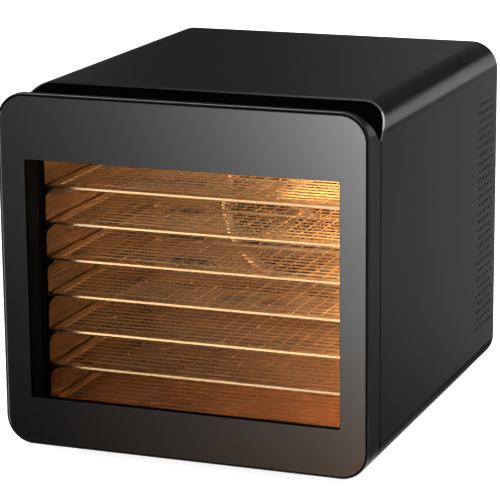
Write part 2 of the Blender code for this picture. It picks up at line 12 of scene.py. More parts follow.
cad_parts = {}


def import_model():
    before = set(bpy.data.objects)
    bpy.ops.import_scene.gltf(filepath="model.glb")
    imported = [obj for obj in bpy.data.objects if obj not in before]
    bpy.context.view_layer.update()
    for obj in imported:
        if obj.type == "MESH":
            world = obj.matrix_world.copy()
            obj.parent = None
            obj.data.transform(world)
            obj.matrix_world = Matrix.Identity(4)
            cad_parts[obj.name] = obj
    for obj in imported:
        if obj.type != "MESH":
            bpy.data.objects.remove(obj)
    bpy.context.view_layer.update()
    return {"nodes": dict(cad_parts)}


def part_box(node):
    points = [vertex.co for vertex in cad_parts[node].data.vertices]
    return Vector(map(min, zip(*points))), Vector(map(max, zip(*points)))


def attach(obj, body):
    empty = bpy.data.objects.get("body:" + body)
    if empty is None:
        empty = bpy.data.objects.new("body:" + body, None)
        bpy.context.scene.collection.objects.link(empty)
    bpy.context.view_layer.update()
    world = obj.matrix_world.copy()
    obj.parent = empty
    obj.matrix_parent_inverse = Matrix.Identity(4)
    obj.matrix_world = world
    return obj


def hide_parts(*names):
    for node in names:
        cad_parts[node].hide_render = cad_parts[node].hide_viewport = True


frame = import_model()
NODES = frame["nodes"]

# ---- dimensions that the detailed pieces share with the solids -----------------------------------
LOW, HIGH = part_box("door_glass")
SHELL_LOW, SHELL_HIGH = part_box("outer_shell")
FRONT = LOW.y
HALF = SHELL_HIGH.x
BASE = SHELL_LOW.z
TOP = SHELL_HIGH.z
CORNER_R = 0.026
CORNER_STEPS = 20
SHEET = 0.0015

WINDOW_HALF = 0.1465
WINDOW_LOW = BASE + 0.046
WINDOW_HIGH = BASE + 0.263
JAMB_MARGIN = 0.0025
SILL_DROP = 0.0120
GLASS_INSET = 0.0026
HINGE_X = 0.120
HINGE_HEIGHT = 0.016

WIRE_R = 0.0006
CROSS_WIRE_R = 0.00042
WIRE_PITCH_X = 0.0139
WIRE_PITCH_Y = 0.0109

VENT_HALF_Y = 0.0018
VENT_HALF_Z = 0.0021
VENT_PITCH_Y = 0.0094
VENT_PITCH_Z = 0.0082
VENT_ROWS = 28
VENT_CENTRE_DEPTH = 0.361

# The finger recess in the top, as (depth, height): up the shell's swept-back edge, and up the back
# of the door. Both start from the cusp at its foot.
CUSP_Z = 0.2900
RECESS_CURVE = (
    (0.0310, CUSP_Z), (0.0338, 0.2935), (0.0372, 0.2972), (0.0410, 0.3010), (0.0452, 0.3043),
    (0.0495, 0.3073), (0.0536, 0.3102), (0.0572, 0.3133), (0.0604, 0.3166), (0.0628, 0.3195),
    (0.0645, 0.3220),
)
LIP_CURVE = (
    (0.0305, CUSP_Z), (0.0283, 0.2920), (0.0250, 0.2953), (0.0215, 0.2995), (0.0180, 0.3040),
    (0.0145, 0.3088), (0.0115, 0.3130), (0.0094, 0.3165), (0.0079, 0.3195), (0.0070, 0.3220),
)
CLEAR_OF = 0.01

SERVICE_HALF = 0.122
SERVICE_DEPTHS = (0.095, 0.388)

DOOR_BACK = 0.0305
DOOR_BREAK = 0.0004
DOOR_LIP = 0.0006
LIP_FILLET = 0.0013
POCKET_INSET = 0.0017
POCKET_DEPTH = 0.0043
HINGE_DEPTH = 0.014
HINGE_BORE_R = 0.0023
PLATE_GAP = 0.0003

TRAYS = 7
TRAY_RIM = 0.0085
TRAY_EDGE = 0.00015

FAN_Z = 0.178
GUARD_RING = 0.0707
GUARD_HOOPS = 5
GUARD_HOOP_R = (0.018, 0.0105)
GUARD_SPOKES = 8
GUARD_DISC_R = 0.0085

INLET_X = -0.105
INLET_Z = 0.050
INLET_FACE = 0.3978
REAR_SLOT_HALF = 0.045
REAR_SLOTS = 6
REAR_FACE = 0.3975
SCREW_X = 0.148
SCREW_Z = (0.035, 0.307)
CROSS_HALF = (0.0019, 0.00045)


def Y(depth):
    """The y of a point this far behind the face of the glass."""
    return FRONT + depth


# ---- mesh helpers --------------------------------------------------------------------------------
def finish_mesh(bm, name, looks, body, stands_for=(), angle=35):
    """Makes the object, shades it smooth with crisp edges, and rides it on its body."""
    bmesh.ops.recalc_face_normals(bm, faces=bm.faces)
    mesh = bpy.data.meshes.new(name)
    bm.to_mesh(mesh)
    bm.free()
    mesh.shade_smooth()
    mesh.set_sharp_from_angle(angle=math.radians(angle))
    obj = bpy.data.objects.new(name, mesh)
    bpy.context.scene.collection.objects.link(obj)
    for look in looks:
        mesh.materials.append(look)
    if body:
        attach(obj, body)
    if stands_for:
        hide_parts(*stands_for)
    return obj


def rounded(x, z, radius, steps=CORNER_STEPS):
    """A rounded rectangle between the limits x and z, as (x, z) points."""
    corners = [(x[1], z[1], 0), (x[0], z[1], 90), (x[0], z[0], 180), (x[1], z[0], 270)]
    points = []
    for cx, cz, start in corners:
        cx += radius if cx == x[0] else -radius
        cz += radius if cz == z[0] else -radius
        for i in range(steps + 1):
            a = math.radians(start + 90 * i / steps)
            points.append((cx + radius * math.cos(a), cz + radius * math.sin(a)))
    return points


def circle(u, v, radius, steps=32):
    turns = [2 * math.pi * i / steps for i in range(steps)]
    return [(u + radius * math.cos(a), v + radius * math.sin(a)) for a in turns]


def about(x, z, half_x, half_z, radius, steps=6):
    """A rounded rectangle round the centre x, z."""
    return rounded((x - half_x, x + half_x), (z - half_z, z + half_z), radius, steps)


def body_outline(inset):
    """The cabinet's outline seen from the front, drawn in by inset."""
    x = HALF - inset
    return rounded((-x, x), (BASE + inset, TOP - inset), max(CORNER_R - inset, 0.0005))


def window_outline(margin, radius=0.002, drop=None):
    """The clear window drawn out by a margin. Its sill can be dropped by more than that."""
    x = WINDOW_HALF + margin
    low = margin if drop is None else drop
    return rounded((-x, x), (WINDOW_LOW - low, WINDOW_HIGH + margin), radius)


def skin(bm, rings, closed=False, looks=None):
    """Joins a row of rings that have the same number of points. Each pair can have its own look."""
    pairs = list(zip(rings, rings[1:]))
    if closed:
        pairs.append((rings[-1], rings[0]))
    count = len(rings[0])
    for k, (one, two) in enumerate(pairs):
        for i in range(count):
            j = (i + 1) % count
            face = bm.faces.new((one[i], one[j], two[j], two[i]))
            face.material_index = looks[k] if looks else 0


def loft(bm, layers, closed=False, looks=None):
    """Skins a row of outlines, each at its own y. Open ends are capped, and the caps come back."""
    rings = [[bm.verts.new((u, y, v)) for u, v in outline] for outline, y in layers]
    skin(bm, rings, closed, looks)
    return [] if closed else [bm.faces.new(rings[0]), bm.faces.new(rings[-1])]


def bar(bm, start, end, radius, sides=8):
    """A round bar with flat ends."""
    start, end = Vector(start), Vector(end)
    turn = (end - start).to_track_quat("Z", "Y")
    rings = []
    for centre in (start, end):
        points = [centre + turn @ Vector((u, v, 0)) for u, v in circle(0, 0, radius, sides)]
        rings.append([bm.verts.new(point) for point in points])
    skin(bm, rings)
    bm.faces.new(rings[0])
    bm.faces.new(rings[1])


def turned(bm, centre, section, steps=96):
    """A closed section of (radius, y) points turned about the Y axis."""
    rings = []
    for i in range(steps):
        a = 2 * math.pi * i / steps
        out = Vector((math.cos(a), 0, math.sin(a)))
        points = [Vector(centre) + out * radius + Vector((0, y, 0)) for radius, y in section]
        rings.append([bm.verts.new(point) for point in points])
    skin(bm, rings, closed=True)


def between(outer, inner, share):
    """The outline a share of the way from the outer one to the inner one."""
    return [(a + (c - a) * share, b + (d - b) * share) for (a, b), (c, d) in zip(outer, inner)]


def extrude_x(bm, outline, low, high):
    """A prism along X from (y, z) points."""
    ends = [[bm.verts.new((x, y, z)) for y, z in outline] for x in (low, high)]
    skin(bm, ends)
    bm.faces.new(ends[0])
    bm.faces.new(ends[1])


def block(bm, low, high):
    outline = [(low[1], low[2]), (high[1], low[2]), (high[1], high[2]), (low[1], high[2])]
    extrude_x(bm, outline, low[0], high[0])


def carve(obj, fill, look=0):
    """Cuts what fill(bm) draws out of obj. The cut faces take the look with this number."""
    bm = bmesh.new()
    fill(bm)
    for face in bm.faces:
        face.material_index = look
    bmesh.ops.recalc_face_normals(bm, faces=bm.faces)
    mesh = bpy.data.meshes.new("carving")
    bm.to_mesh(mesh)
    bm.free()
    tool = bpy.data.objects.new("carving", mesh)
    bpy.context.scene.collection.objects.link(tool)
    modifier = obj.modifiers.new("carve", "BOOLEAN")
    modifier.operation = "DIFFERENCE"
    modifier.object = tool
    modifier.solver = "EXACT"
    bpy.context.view_layer.update()
    carved = bpy.data.meshes.new_from_object(obj.evaluated_get(bpy.context.evaluated_depsgraph_get()))
    assert carved.polygons, f"nothing is left of {obj.name}"
    obj.modifiers.remove(modifier)
    obj.data = carved
    bpy.data.objects.remove(tool, do_unlink=True)


def reshade(obj, angle=35):
    """Shades a carved mesh smooth again, with crisp edges."""
    obj.data.shade_smooth()
    obj.data.set_sharp_from_angle(angle=math.radians(angle))


def keep_flats(obj):
    """Weights the normals by area, so that the flats beside the rounded edges stay flat."""
    normals = obj.modifiers.new("flats", "WEIGHTED_NORMAL")
    normals.keep_sharp = True
    normals.weight = 100


def soften(obj, width, angle=40, segments=2):
    """Rounds the crisp edges a little, as real ones are, and keeps the flats flat."""
    bevel = obj.modifiers.new("edges", "BEVEL")
    bevel.width = width
    bevel.segments = segments
    bevel.limit_method = "ANGLE"
    bevel.angle_limit = math.radians(angle)
    bevel.harden_normals = True
    return obj


# ---- material helpers ----------------------------------------------------------------------------
def blank(name):
    """A material with only a Principled shader: (material, its nodes, its links, the shader)."""
    made = bpy.data.materials.new(name)
    made.use_nodes = True
    tree = made.node_tree
    return made, tree.nodes, tree.links, tree.nodes["Principled BSDF"]


def noise_of(nodes, links, scale, stretch=(1, 1, 1), detail=4.0, roughness=0.55):
    """A noise in the piece's own coordinates. Scale is in features per metre."""
    where = nodes.new("ShaderNodeTexCoord")
    mapping = nodes.new("ShaderNodeMapping")
    mapping.inputs["Scale"].default_value = stretch
    noise = nodes.new("ShaderNodeTexNoise")
    noise.inputs["Scale"].default_value = scale
    noise.inputs["Detail"].default_value = detail
    noise.inputs["Roughness"].default_value = roughness
    links.new(where.outputs["Object"], mapping.inputs["Vector"])
    links.new(mapping.outputs["Vector"], noise.inputs["Vector"])
    return noise.outputs["Fac"]


def ranged(nodes, links, source, low, high, spread=(0.3, 0.7)):
    """The source remapped from spread to low..high."""
    node = nodes.new("ShaderNodeMapRange")
    node.inputs["From Min"].default_value = spread[0]
    node.inputs["From Max"].default_value = spread[1]
    node.inputs["To Min"].default_value = low
    node.inputs["To Max"].default_value = high
    links.new(source, node.inputs["Value"])
    return node.outputs["Result"]


def mixed(nodes, links, share, dark, light):
    node = nodes.new("ShaderNodeMix")
    node.data_type = "RGBA"
    node.inputs["A"].default_value = (*dark, 1)
    node.inputs["B"].default_value = (*light, 1)
    links.new(share, node.inputs["Factor"])
    return node.outputs["Result"]


def value_of(nodes, links, operation, *values):
    """One Math node. A value is a number or another node's output."""
    node = nodes.new("ShaderNodeMath")
    node.operation = operation
    for socket, value in zip(node.inputs, values):
        if isinstance(value, (int, float)):
            socket.default_value = value
        else:
            links.new(value, socket)
    return node.outputs[0]


def bumped(nodes, links, shader, height, distance, strength=0.5):
    node = nodes.new("ShaderNodeBump")
    node.inputs["Strength"].default_value = strength
    node.inputs["Distance"].default_value = distance
    links.new(height, node.inputs["Height"])
    links.new(node.outputs["Normal"], shader.inputs["Normal"])


def finish_of(
    name, dark, light, rough, grain, depth, metallic=0.0, specular=0.5, stretch=(1, 1, 1), cloud=14.0
):
    """A surface with a fine grain in its relief and roughness, and slow clouds in its colour.

    The grain and the clouds are given in features per metre, and depth is the height of the relief.
    """
    made, nodes, links, shader = blank(name)
    fine = noise_of(nodes, links, grain, stretch)
    slow = noise_of(nodes, links, cloud, (1, 1, 1), 3.0)
    shader.inputs["Metallic"].default_value = metallic
    shader.inputs["Specular IOR Level"].default_value = specular
    colour = mixed(nodes, links, ranged(nodes, links, slow, 0, 1), dark, light)
    links.new(colour, shader.inputs["Base Color"])
    both = value_of(nodes, links, "MULTIPLY_ADD", fine, 0.6, ranged(nodes, links, slow, 0.0, 0.4))
    links.new(ranged(nodes, links, both, *rough, (0.2, 0.8)), shader.inputs["Roughness"])
    bumped(nodes, links, shader, fine, depth)
    return made


# ---- finishes ------------------------------------------------------------------------------------
PAINT = finish_of(
    "shell_paint", (0.0055, 0.0055, 0.0057), (0.0070, 0.0070, 0.0072), (0.20, 0.27),
    grain=1500, depth=0.00003, specular=0.30,
)
# Painted shade: a darker copy of the shell's paint, for the cut faces of its swept front edge.
LIP_PAINTED_SHADE = finish_of(
    "lip_painted_shade", (0.0020, 0.0020, 0.0021), (0.0030, 0.0030, 0.0031), (0.16, 0.22),
    grain=1500, depth=0.00002, specular=0.30,
)
FRAME_PLASTIC = finish_of(
    "door_plastic", (0.0035, 0.0035, 0.0035), (0.0050, 0.0050, 0.0050), (0.26, 0.34),
    grain=1800, depth=0.00002, specular=0.30,
)
BEZEL_PLASTIC = finish_of(
    "bezel_plastic", (0.0020, 0.0020, 0.0020), (0.0032, 0.0031, 0.0030), (0.42, 0.55),
    grain=1600, depth=0.00003, specular=0.0,
)
# Painted shade: the recess panel is far darker than the paint round it, and has no gloss, to stand for
# the shade in the finger recess.
RECESS_PAINTED_SHADE = finish_of(
    "recess_painted_shade", (0.0005, 0.0005, 0.0005), (0.0010, 0.0010, 0.0010), (0.55, 0.70),
    grain=1600, depth=0.00003, specular=0.0,
)
GASKET = finish_of(
    "gasket_rubber", (0.0055, 0.0075, 0.0100), (0.0085, 0.0110, 0.0145), (0.65, 0.85),
    grain=900, depth=0.00008, specular=0.0,
)
FOOT_RUBBER = finish_of(
    "foot_rubber", (0.012, 0.012, 0.012), (0.022, 0.022, 0.022), (0.7, 0.9),
    grain=900, depth=0.0001, specular=0.3,
)
LINER = finish_of(
    "liner_sheet", (0.60, 0.47, 0.36), (0.72, 0.57, 0.43), (0.34, 0.52),
    grain=160, depth=0.00005, metallic=0.75, stretch=(1, 1, 12),
)
# Painted shade with a warm cast: a darker, redder copy of the liner steel for the floor at the foot of
# the chamber.
FLOOR_PAINTED_SHADE = finish_of(
    "chamber_floor_painted_shade", (0.52, 0.30, 0.16), (0.64, 0.38, 0.21), (0.34, 0.52),
    grain=160, depth=0.00005, metallic=0.75, stretch=(1, 1, 12),
)
BAFFLE = finish_of(
    "baffle_sheet", (0.56, 0.47, 0.36), (0.64, 0.54, 0.42), (0.36, 0.54),
    grain=200, depth=0.00005, metallic=0.4, stretch=(1, 1, 10),
)
TRAY_STEEL = finish_of(
    "tray_steel", (0.88, 0.80, 0.70), (0.95, 0.88, 0.79), (0.16, 0.26),
    grain=260, depth=0.00001, metallic=1.0, stretch=(0.15, 4, 4),
)
WIRE_STEEL = finish_of(
    "tray_wire", (0.86, 0.74, 0.58), (0.97, 0.86, 0.70), (0.22, 0.38),
    grain=500, depth=0.00002, metallic=1.0,
)
# Painted shade: the cross wires are a darker copy of the same wire steel, as they catch less of the
# chamber light.
CROSS_WIRE_SHADE = finish_of(
    "cross_wire_painted_shade", (0.54, 0.43, 0.31), (0.70, 0.57, 0.42), (0.26, 0.40),
    grain=500, depth=0.00002, metallic=1.0,
)
GUARD_STEEL = finish_of(
    "guard_wire", (0.84, 0.76, 0.66), (0.95, 0.88, 0.78), (0.16, 0.26),
    grain=500, depth=0.00002, metallic=1.0,
)
ZINC = finish_of(
    "zinc_sheet", (0.42, 0.43, 0.45), (0.60, 0.61, 0.63), (0.35, 0.55),
    grain=300, depth=0.00003, metallic=1.0, cloud=60,
)
BLADE = finish_of(
    "blade_sheet", (0.70, 0.64, 0.56), (0.82, 0.76, 0.68), (0.35, 0.5),
    grain=400, depth=0.00003, metallic=0.7,
)
# Painted shade: the chamber behind the fan is made dark, so that the fan opening reads dark.
CHAMBER_BACK_SHADE = finish_of(
    "chamber_back_painted_shade", (0.11, 0.085, 0.060), (0.16, 0.125, 0.090), (0.45, 0.60),
    grain=900, depth=0.00004, specular=0.2,
)
HEATER = finish_of(
    "heater_sheath", (0.10, 0.075, 0.06), (0.24, 0.20, 0.17), (0.45, 0.65),
    grain=500, depth=0.00005, metallic=0.8,
)
CERAMIC = finish_of(
    "lamp_ceramic", (0.70, 0.68, 0.63), (0.82, 0.80, 0.76), (0.5, 0.7),
    grain=700, depth=0.00004,
)
MAGNET = finish_of(
    "magnet", (0.05, 0.05, 0.055), (0.09, 0.09, 0.10), (0.45, 0.65),
    grain=900, depth=0.00004, metallic=0.5,
)
PIN_METAL = finish_of(
    "inlet_blade", (0.60, 0.58, 0.52), (0.74, 0.72, 0.66), (0.2, 0.35),
    grain=800, depth=0.00001, metallic=1.0,
)
BLACK_MOULDING = finish_of(
    "inlet_moulding", (0.012, 0.012, 0.012), (0.02, 0.02, 0.02), (0.4, 0.55),
    grain=1400, depth=0.00005,
)


def steel_with_painted_shade(name, node, dark, light, rough, black_to, shade_to):
    """Brushed steel that is black over its front end and darker towards it, by painted shade that fades
    out by shade_to.
    """
    made, nodes, links, shader = blank(name)
    where = nodes.new("ShaderNodeTexCoord")
    split = nodes.new("ShaderNodeSeparateXYZ")
    links.new(where.outputs["Object"], split.inputs["Vector"])
    origin = NODES[node].matrix_world.translation.y
    tip = Y(black_to) - origin
    # Black over the front end: on the liner's sides this is painted shade over an edge that the chamber
    # lamps would light.
    painted = ranged(nodes, links, split.outputs["Y"], 0, 1, (tip - 0.0001, tip + 0.0001))
    # Painted shade: the steel darkens to 0.45 of its colour at the front end and comes back to full by
    # shade_to.
    depth = ranged(nodes, links, split.outputs["Y"], 0.45, 1.0, (tip, Y(shade_to) - origin))
    grain = noise_of(nodes, links, 220, (1, 0.1, 3))
    steel = mixed(nodes, links, ranged(nodes, links, grain, 0, 1), dark, light)
    shade = nodes.new("ShaderNodeVectorMath")
    shade.operation = "SCALE"
    links.new(steel, shade.inputs["Vector"])
    links.new(depth, shade.inputs["Scale"])
    black_front_mix = nodes.new("ShaderNodeMix")
    black_front_mix.data_type = "RGBA"
    black_front_mix.inputs["A"].default_value = (0.0016, 0.0015, 0.0014, 1)
    links.new(painted, black_front_mix.inputs["Factor"])
    links.new(shade.outputs["Vector"], black_front_mix.inputs["B"])
    links.new(black_front_mix.outputs["Result"], shader.inputs["Base Color"])
    links.new(ranged(nodes, links, grain, *rough), shader.inputs["Roughness"])
    shader.inputs["Metallic"].default_value = 1.0
    shader.inputs["Specular IOR Level"].default_value = 0.0
    bumped(nodes, links, shader, grain, 0.00001)
    return made


def border_glass():
    """The printed part of the door's glass: deep black under a hard, slightly smudged gloss."""
    made, nodes, links, shader = blank("border_glass")
    smudge = noise_of(nodes, links, 9.0, (1, 1, 1.6), 5.0)
    cloud = ranged(nodes, links, smudge, 0, 1)
    black = mixed(nodes, links, cloud, (0.0040, 0.0040, 0.0042), (0.0055, 0.0053, 0.0052))
    links.new(black, shader.inputs["Base Color"])
    links.new(ranged(nodes, links, smudge, 0.07, 0.11), shader.inputs["Roughness"])
    shader.inputs["Specular IOR Level"].default_value = 1.0
    bumped(nodes, links, shader, noise_of(nodes, links, 25.0, (1, 1, 1), 2.0), 0.00002, 0.15)
    return made


def window_glass():
    """The clear part of the door's glass, with a faint smoke and a low sheen."""
    made, nodes, links, shader = blank("window_glass")
    smudge = noise_of(nodes, links, 12.0, (1, 1, 1.6), 5.0)
    cloud = ranged(nodes, links, smudge, 0, 1)
    tint = mixed(nodes, links, cloud, (0.46, 0.45, 0.43), (0.50, 0.49, 0.47))
    links.new(tint, shader.inputs["Base Color"])
    shader.inputs["Roughness"].default_value = 0.0
    shader.inputs["IOR"].default_value = 1.12
    shader.inputs["Transmission Weight"].default_value = 1.0
    return made


def lamp_glass():
    """A frosted lens that glows, paler along its ribs."""
    made, nodes, links, shader = blank("lamp_lens_glass")
    ribs = noise_of(nodes, links, 260.0, (0.1, 1, 0.1), 2.0)
    glow = mixed(nodes, links, ranged(nodes, links, ribs, 0, 1), (1.0, 0.62, 0.28), (1.0, 0.78, 0.48))
    links.new(glow, shader.inputs["Emission Color"])
    shader.inputs["Base Color"].default_value = (0.9, 0.7, 0.45, 1)
    shader.inputs["Roughness"].default_value = 0.35
    shader.inputs["Emission Strength"].default_value = 6.0
    return made


def touch_gloss():
    """Deep matt-printed black, for the unlit touch strip and the printed mask behind the glass."""
    made, nodes, links, shader = blank("touch_gloss")
    fine = noise_of(nodes, links, 40.0)
    cloud = ranged(nodes, links, fine, 0, 1)
    black = mixed(nodes, links, cloud, (0.0004, 0.0004, 0.0005), (0.0008, 0.0008, 0.0009))
    links.new(black, shader.inputs["Base Color"])
    links.new(ranged(nodes, links, fine, 0.08, 0.16), shader.inputs["Roughness"])
    shader.inputs["Specular IOR Level"].default_value = 0.0
    return made


def board_look():
    """Solder mask over copper tracks."""
    made, nodes, links, shader = blank("board_mask")
    where = nodes.new("ShaderNodeTexCoord")
    tracks = nodes.new("ShaderNodeTexBrick")
    tracks.inputs["Scale"].default_value = 140.0
    tracks.inputs["Mortar Size"].default_value = 0.06
    tracks.inputs["Color1"].default_value = (0.010, 0.085, 0.035, 1)
    tracks.inputs["Color2"].default_value = (0.012, 0.105, 0.045, 1)
    tracks.inputs["Mortar"].default_value = (0.030, 0.200, 0.080, 1)
    links.new(where.outputs["Object"], tracks.inputs["Vector"])
    links.new(tracks.outputs["Color"], shader.inputs["Base Color"])
    links.new(ranged(nodes, links, noise_of(nodes, links, 300), 0.3, 0.5), shader.inputs["Roughness"])
    return made


# The racks' steel is set darker than the liner's, and both darken towards the front: painted shade.
RACK = steel_with_painted_shade(
    "rack_steel_painted_shade", "tray_rack_left", (0.38, 0.28, 0.18), (0.48, 0.36, 0.24), (0.24, 0.36), 0.0445, 0.160
)
LINER_SIDE = steel_with_painted_shade(
    "liner_side_painted_shade", "liner_left", (0.60, 0.47, 0.36), (0.72, 0.57, 0.43), (0.30, 0.44), 0.0455, 0.160
)
BORDER = border_glass()
CLEAR = window_glass()
LENS = lamp_glass()
TOUCH = touch_gloss()
BOARD = board_look()


def repaint(look, *names):
    """Gives carried-over CAD nodes their finish."""
    for name in names:
        mesh = NODES[name].data
        mesh.materials.clear()
        mesh.materials.append(look)


# ---- cabinet -------------------------------------------------------------------------------------
def recess_side(curve, depth):
    """The space between one wall of the finger recess and a depth, seen from the side."""
    points = [(Y(d), BASE + h) for d, h in curve]
    above = TOP + CLEAR_OF
    return points + [(points[-1][0], above), (Y(depth), above), (Y(depth), BASE + CUSP_Z)]


def vent_centres():
    """Staggered rows of five and six holes near the back edge of each side."""
    middle = (BASE + TOP) / 2 - 0.002
    for row in range(VENT_ROWS):
        count = 5 if row % 2 else 6
        z = middle + VENT_PITCH_Z * (row - (VENT_ROWS - 1) / 2)
        for i in range(count):
            yield Y(VENT_CENTRE_DEPTH + VENT_PITCH_Y * (i - (count - 1) / 2)), z


def shell_wrap():
    """The painted wrap: one bent sheet with a swept-back front edge and punched vents."""
    bm = bmesh.new()
    front, back = SHELL_LOW.y, SHELL_HIGH.y
    outer, inner = body_outline(0.0), body_outline(SHEET)
    loft(bm, [(outer, front), (outer, back), (inner, back), (inner, front)], closed=True)
    shell = finish_mesh(bm, "shell_wrap", [PAINT, LIP_PAINTED_SHADE], "cabinet", ["outer_shell"])
    edge = HALF + CLEAR_OF
    swept = recess_side(RECESS_CURVE, 0.020)
    # The cut faces take the darker copy of the paint, which is painted shade.
    carve(shell, lambda tool: extrude_x(tool, swept, -edge, edge), look=1)

    def service_opening(tool):
        near, far = [Y(depth) for depth in SERVICE_DEPTHS]
        block(tool, (-SERVICE_HALF, near, BASE - CLEAR_OF), (SERVICE_HALF, far, BASE + 0.004))

    def vents(tool):
        for y, z in vent_centres():
            hole = [(y + VENT_HALF_Y * u, z + VENT_HALF_Z * v) for u, v in circle(0, 0, 1, 12)]
            for side in (-1, 1):
                extrude_x(tool, hole, side * (HALF - 0.004), side * (HALF + 0.002))

    carve(shell, service_opening)
    carve(shell, vents)
    reshade(shell)
    keep_flats(shell)
    return shell


def foot_pad(name, node):
    """A turned rubber foot with a waist and a hollow underside."""
    low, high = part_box(node)
    cx, cy = (low.x + high.x) / 2, (low.y + high.y) / 2
    radius = (high.x - low.x) / 2
    tall = high.z - low.z
    profile = [
        (0.0, 0.18), (0.55, 0.18), (0.62, 0.0), (0.90, 0.0), (0.97, 0.06), (1.0, 0.16), (0.98, 0.42),
        (0.90, 0.62), (0.88, 0.80), (0.92, 1.0), (0.0, 1.0),
    ]
    bm = bmesh.new()
    steps = 40
    rings = []
    for share, height in profile:
        z = low.z + height * tall
        points = circle(cx, cy, share * radius, steps) if share else [(cx, cy)]
        rings.append([bm.verts.new((x, y, z)) for x, y in points])
    for one, two in zip(rings, rings[1:]):
        for i in range(steps):
            j = (i + 1) % steps
            if len(one) == 1:
                bm.faces.new((one[0], two[i], two[j]))
            elif len(two) == 1:
                bm.faces.new((one[i], one[j], two[0]))
            else:
                bm.faces.new((one[i], one[j], two[j], two[i]))
    return finish_mesh(bm, name, [FOOT_RUBBER], "cabinet", [node])


def rear_cover():
    """The pressed sheet that closes the back: a raised border, slots and a hole for the inlet."""
    bm = bmesh.new()
    face = Y(REAR_FACE)
    layers = [
        (0.0018, face - 0.0015),
        (0.0018, face - 0.0003),
        (0.0021, face),
        (0.0130, face),
        (0.0138, face - 0.0005),
    ]
    loft(bm, [(body_outline(inset), y) for inset, y in layers])
    cover = finish_mesh(bm, "rear_cover", [PAINT], "cabinet", ["rear_panel"])

    def openings(tool):
        depth = (Y(0.390), Y(0.400))
        for row in range(REAR_SLOTS):
            z = FAN_Z + 0.012 * (row - (REAR_SLOTS - 1) / 2)
            slot = about(0, z, REAR_SLOT_HALF, 0.0025, 0.0024)
            loft(tool, [(slot, y) for y in depth])
        hole = about(INLET_X, INLET_Z, 0.0143, 0.0108, 0.001, 4)
        loft(tool, [(hole, y) for y in depth])

    carve(cover, openings)
    reshade(cover)
    return cover


def cover_screw(index, x, z):
    """A pan-head screw with a cross recess."""
    low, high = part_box(f"rear_screw_{index}")
    bm = bmesh.new()
    radius, tall = (high.x - low.x) / 2, high.y - low.y
    dome = [(0.98, 0.0), (1.0, 0.12), (0.98, 0.40), (0.88, 0.68), (0.68, 0.90), (0.40, 1.0)]
    loft(bm, [(circle(x, z, share * radius), low.y + height * tall) for share, height in dome])
    screw = finish_mesh(bm, f"cover_screw_{index}", [ZINC], "cabinet", [f"rear_screw_{index}"])

    def slot(tool, half_x, half_z):
        block(tool, (x - half_x, high.y - 0.0009, z - half_z), (x + half_x, high.y + 0.001, z + half_z))

    long, narrow = CROSS_HALF
    carve(screw, lambda tool: slot(tool, long, narrow))
    carve(screw, lambda tool: slot(tool, narrow, long))
    return screw


def inlet_housing():
    """The moulded socket that an appliance lead plugs into, with its three pins deep in the well."""
    low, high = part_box("mains_inlet")

    def outline(half_x, half_z, radius):
        return about(INLET_X, INLET_Z, half_x, half_z, radius)

    barrel = outline(0.0140, 0.0105, 0.001)
    flange = outline(0.0200, 0.0135, 0.003)
    well = outline(0.0120, 0.0085, 0.0024)
    bm = bmesh.new()
    loft(bm, [
        (outline(0.0136, 0.0101, 0.001), low.y),
        (barrel, low.y + 0.0006),
        (barrel, Y(INLET_FACE)),
        (flange, Y(INLET_FACE)),
        (flange, high.y - 0.0006),
        (outline(0.0195, 0.0130, 0.0026), high.y),
        (outline(0.0128, 0.0093, 0.0030), high.y),
        (well, high.y - 0.0010),
        (well, Y(0.3800)),
    ])
    return finish_mesh(bm, "inlet_housing", [BLACK_MOULDING], "cabinet", ["mains_inlet"])


# ---- door ----------------------------------------------------------------------------------------
def frame_outside():
    """The frame's section from the pocket for the glass, over the front edge, to its back."""
    pocket = body_outline(POCKET_INSET)
    layers = [
        (pocket, Y(POCKET_DEPTH)),
        (pocket, Y(DOOR_LIP + 0.0003)),
        (body_outline(POCKET_INSET - 0.0003), Y(DOOR_LIP)),
    ]
    for i in range(1, 7):
        a = math.radians(90 * i / 6)
        inset = LIP_FILLET * (1 - math.sin(a))
        layers.append((body_outline(inset), Y(DOOR_LIP + LIP_FILLET * (1 - math.cos(a)))))
    layers.append((body_outline(0.0), Y(DOOR_BACK - DOOR_BREAK)))
    layers.append((body_outline(DOOR_BREAK), Y(DOOR_BACK)))
    return layers


def frame_jamb():
    """The frame's section along the window opening, from its back to the glass."""
    jamb = window_outline(JAMB_MARGIN, drop=SILL_DROP)
    broken = window_outline(JAMB_MARGIN + DOOR_BREAK, drop=SILL_DROP + DOOR_BREAK)
    return [
        (broken, Y(DOOR_BACK)),
        (jamb, Y(DOOR_BACK - DOOR_BREAK)),
        (jamb, Y(0.0120)),
        (jamb, Y(POCKET_DEPTH)),
    ]


def hinge_notches(tool):
    for side in (-1, 1):
        x = side * HINGE_X
        block(tool, (x - 0.0021, Y(0.008), 0.0), (x + 0.0021, Y(0.040), HINGE_HEIGHT + 0.0065))


def hinge_bores(tool):
    for side in (-1, 1):
        x = side * HINGE_X
        ends = [(x + reach, Y(HINGE_DEPTH), HINGE_HEIGHT) for reach in (-0.0083, 0.0083)]
        bar(tool, *ends, HINGE_BORE_R, 20)


def plate_seat(tool, side):
    """Room for a strike plate, open at the door's back."""
    low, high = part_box(f"strike_plate_{side}")
    gap = Vector((PLATE_GAP, PLATE_GAP, PLATE_GAP))
    block(tool, low - gap, high + Vector((PLATE_GAP, CLEAR_OF, PLATE_GAP)))


